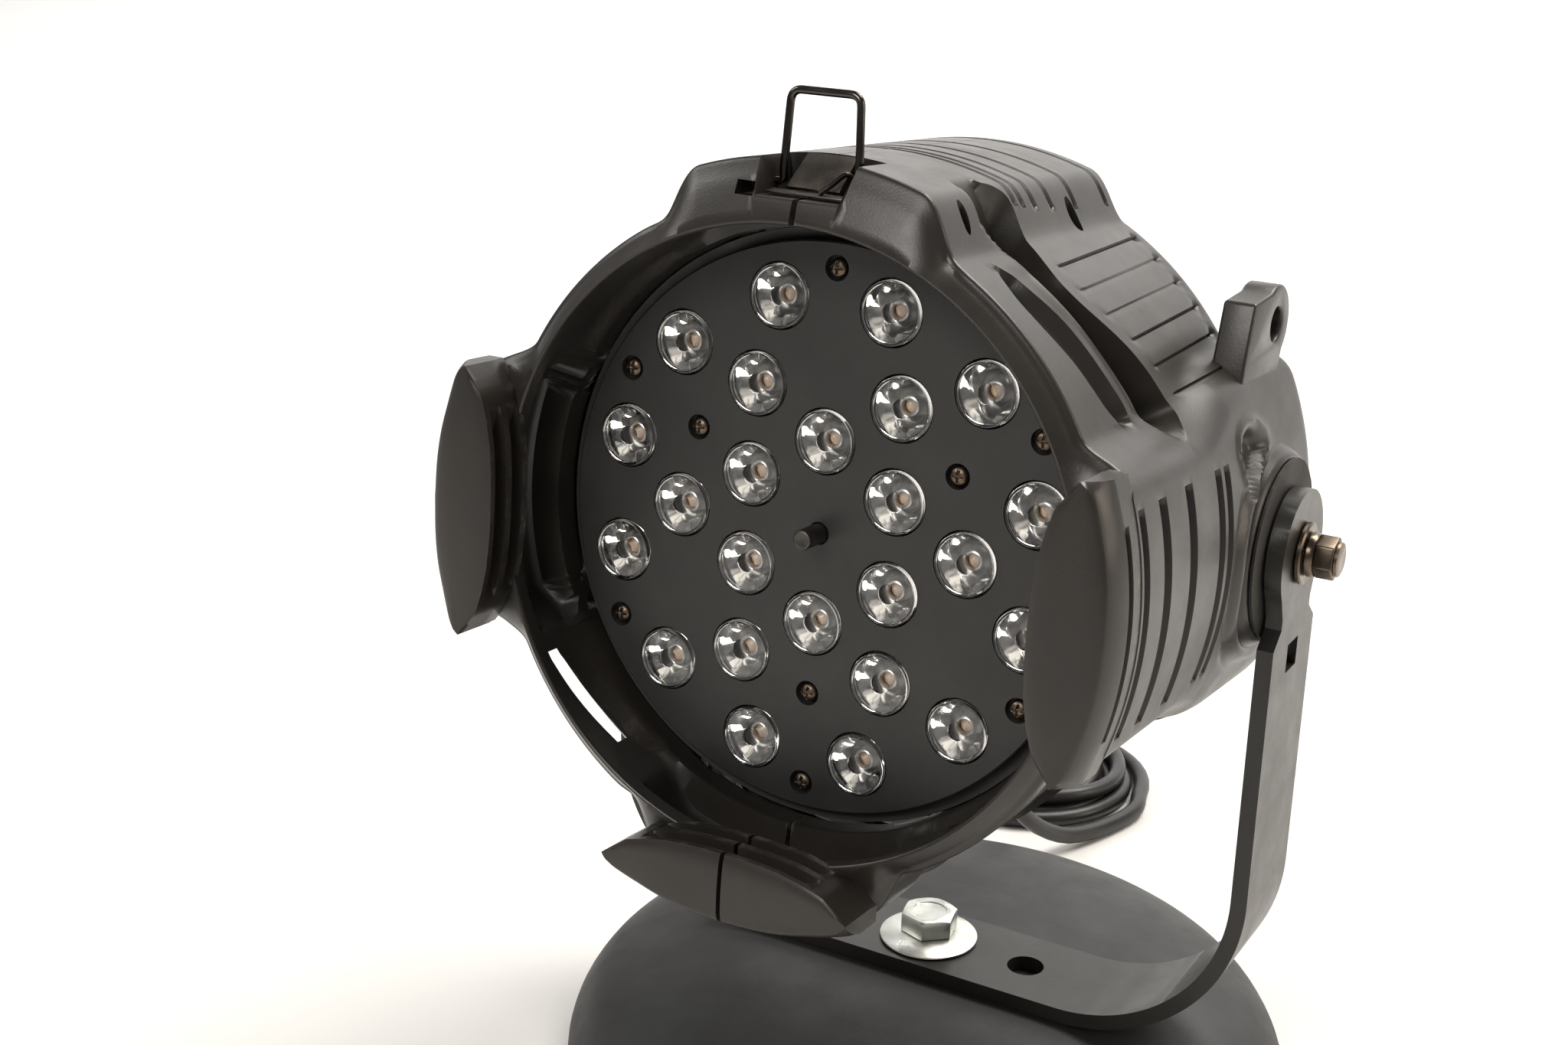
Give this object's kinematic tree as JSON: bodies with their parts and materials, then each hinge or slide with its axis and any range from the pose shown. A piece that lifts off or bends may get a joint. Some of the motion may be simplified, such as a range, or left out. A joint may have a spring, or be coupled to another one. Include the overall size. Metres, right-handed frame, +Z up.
{
  "type": "led wash spotlight",
  "caption": "Round cast wash light with clear lenses on a tilting flat-bar yoke, bolted to a domed floor base, with a coiled mains lead.",
  "frame": {"origin": "centre of the base's underside, on the surface it stands on", "axes": "+Z up along the pan axis, -Y the side the lenses face at rest, +X the viewer's right when looking at the lenses; the tilt axis is parallel to X"},
  "size_m": [0.2776, 0.4785, 0.3757],
  "materials": {
    "base_black": "matt black powder coat",
    "cast_weight": "raw casting",
    "rubber": "soft black foot pad",
    "zinc": "bright zinc plate",
    "yoke_black": "satin black powder coat, chipped on its front edge",
    "housing_black": "satin black powder coat over a cast aluminium body",
    "cover_black": "satin black powder coat over aluminium",
    "plate_black": "fine matt black",
    "clear_lens": "clear moulded lens",
    "post_metal": "dark turned post with a raw end",
    "circuit_board": "white solder mask",
    "raw_aluminium": "raw extrusion",
    "display_dark": "dark display window",
    "button_grey": "grey moulded keys",
    "socket_dark": "dark moulded socket",
    "gland_black": "black nylon",
    "fan_black": "black moulding",
    "supply_steel": "folded sheet case",
    "catch_steel": "dark plated sheet steel",
    "catch_wire": "dark glossy wire",
    "fibre": "dark friction washer",
    "dark_nickel": "dark nickel plate",
    "lead_black": "black mains lead jacket",
    "plug_black": "black moulded plug"
  },
  "bodies": {
    "base": {"base_dome": "base_black", "base_weight": "cast_weight", "base_foot_pad": "rubber", "base_bolt": "zinc", "base_washer": "zinc"},
    "yoke": {"yoke": "yoke_black", "cord_coil": "lead_black", "mains_plug": "plug_black", "mains_lead": "lead_black"},
    "head": {"housing_left": "housing_black", "housing_right": "housing_black", "rear_cover": "cover_black", "lens_plate": "plate_black", "centre_post": "post_metal", "led_board": "circuit_board", "heat_sink": "raw_aluminium", "fan_frame": "fan_black", "power_supply": "supply_steel", "catch_bracket": "catch_steel", "display_window": "display_dark", "signal_inlet": "socket_dark", "signal_outlet": "socket_dark", "cable_gland": "gland_black", "friction_disc_left": "fibre", "friction_disc_right": "fibre", "tilt_washer_left": "dark_nickel", "tilt_washer_right": "dark_nickel", "tilt_bolt_left": "dark_nickel", "tilt_bolt_right": "dark_nickel", "lens_01": "clear_lens", "lens_02": "clear_lens", "lens_03": "clear_lens", "lens_04": "clear_lens", "lens_05": "clear_lens", "lens_06": "clear_lens", "lens_07": "clear_lens", "lens_08": "clear_lens", "lens_09": "clear_lens", "lens_10": "clear_lens", "lens_11": "clear_lens", "lens_12": "clear_lens", "lens_13": "clear_lens", "lens_14": "clear_lens", "lens_15": "clear_lens", "lens_16": "clear_lens", "lens_17": "clear_lens", "lens_18": "clear_lens", "lens_19": "clear_lens", "lens_20": "clear_lens", "lens_21": "clear_lens", "lens_22": "clear_lens", "lens_23": "clear_lens", "lens_24": "clear_lens"},
    "catch": {"catch_bail": "catch_wire"},
    "fan": {"fan_rotor": "fan_black"},
    "button_1": {"menu_button_1": "button_grey"},
    "button_2": {"menu_button_2": "button_grey"},
    "button_3": {"menu_button_3": "button_grey"},
    "button_4": {"menu_button_4": "button_grey"}
  },
  "joints": [
    {"name": "yoke_pan", "type": "hinge", "parent": "base", "child": "yoke", "pos_m": [0, 0, 0.045], "axis": [0, 0, 1], "range_deg": [-170, 170]},
    {"name": "head_tilt", "type": "hinge", "parent": "yoke", "child": "head", "pos_m": [0, 0, 0.2274], "axis": [1, 0, 0], "range_deg": [-100, 42], "deforming": ["mains_lead"]},
    {"name": "catch_fold", "type": "hinge", "parent": "head", "child": "catch", "pos_m": [0, -0.10143, 0.34693], "axis": [1, 0, 0], "range_deg": [-15, 80]},
    {"name": "fan_spin", "type": "hinge", "parent": "head", "child": "fan", "pos_m": [0, 0.00141, 0.2644], "axis": [0, 0.9969, -0.0785], "continuous": true},
    {"name": "button_1_press", "type": "slide", "parent": "head", "child": "button_1", "axis": [0, -0.9969, 0.0785], "range_m": [0, 0.001], "stiffness_N_per_m": 400},
    {"name": "button_2_press", "type": "slide", "parent": "head", "child": "button_2", "axis": [0, -0.9969, 0.0785], "range_m": [0, 0.001], "stiffness_N_per_m": 400},
    {"name": "button_3_press", "type": "slide", "parent": "head", "child": "button_3", "axis": [0, -0.9969, 0.0785], "range_m": [0, 0.001], "stiffness_N_per_m": 400},
    {"name": "button_4_press", "type": "slide", "parent": "head", "child": "button_4", "axis": [0, -0.9969, 0.0785], "range_m": [0, 0.001], "stiffness_N_per_m": 400}
  ]
}
